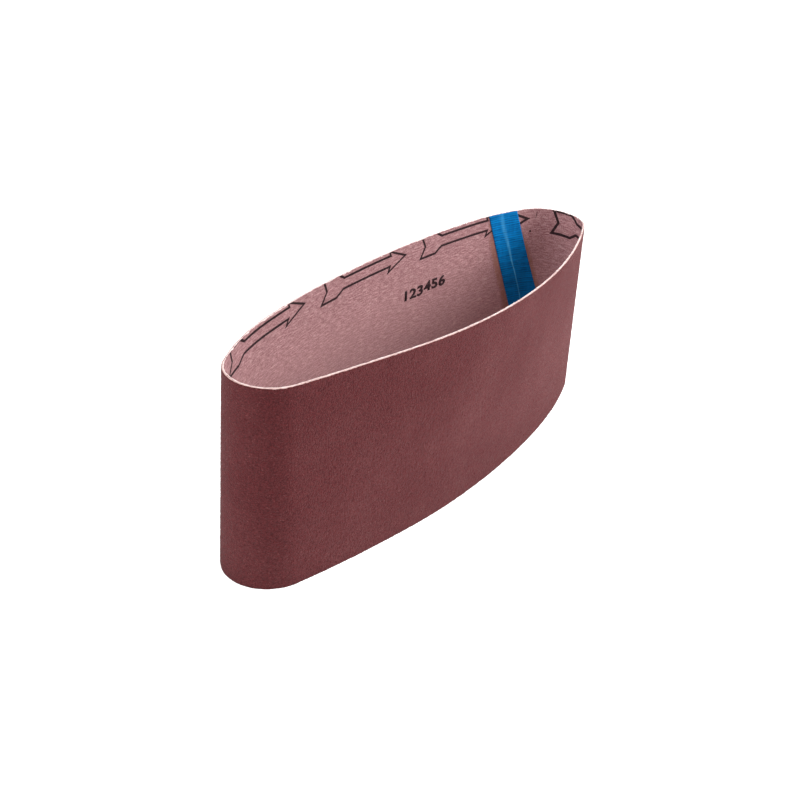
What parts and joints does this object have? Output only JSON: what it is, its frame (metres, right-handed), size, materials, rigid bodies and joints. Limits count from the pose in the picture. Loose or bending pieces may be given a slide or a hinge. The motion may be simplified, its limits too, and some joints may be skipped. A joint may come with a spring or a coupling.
{
  "type": "sanding belt",
  "caption": "Endless cloth-backed sanding belt standing on its edge, grit outside, printed direction arrows and a slanted taped splice inside.",
  "frame": {"origin": "on the surface the belt stands on, under the middle of the loop's bounding box", "axes": "+Z across the belt's width, upwards; +X along the loop's long way; +Y towards the wall that carries the taped splice"},
  "size_m": [0.2098, 0.0618, 0.075],
  "materials": {
    "cloth": "matte",
    "grain": "matte",
    "resin": "matte",
    "tape": "gloss",
    "adhesive": "satin",
    "ink": "matte"
  },
  "bodies": {
    "root": {"backing_cloth": "cloth", "make_coat": "resin", "abrasive_grain": "grain", "size_coat": "resin", "splice_adhesive": "adhesive", "splice_tape": "tape", "tape_yarns": "tape"}
  },
  "joints": []
}
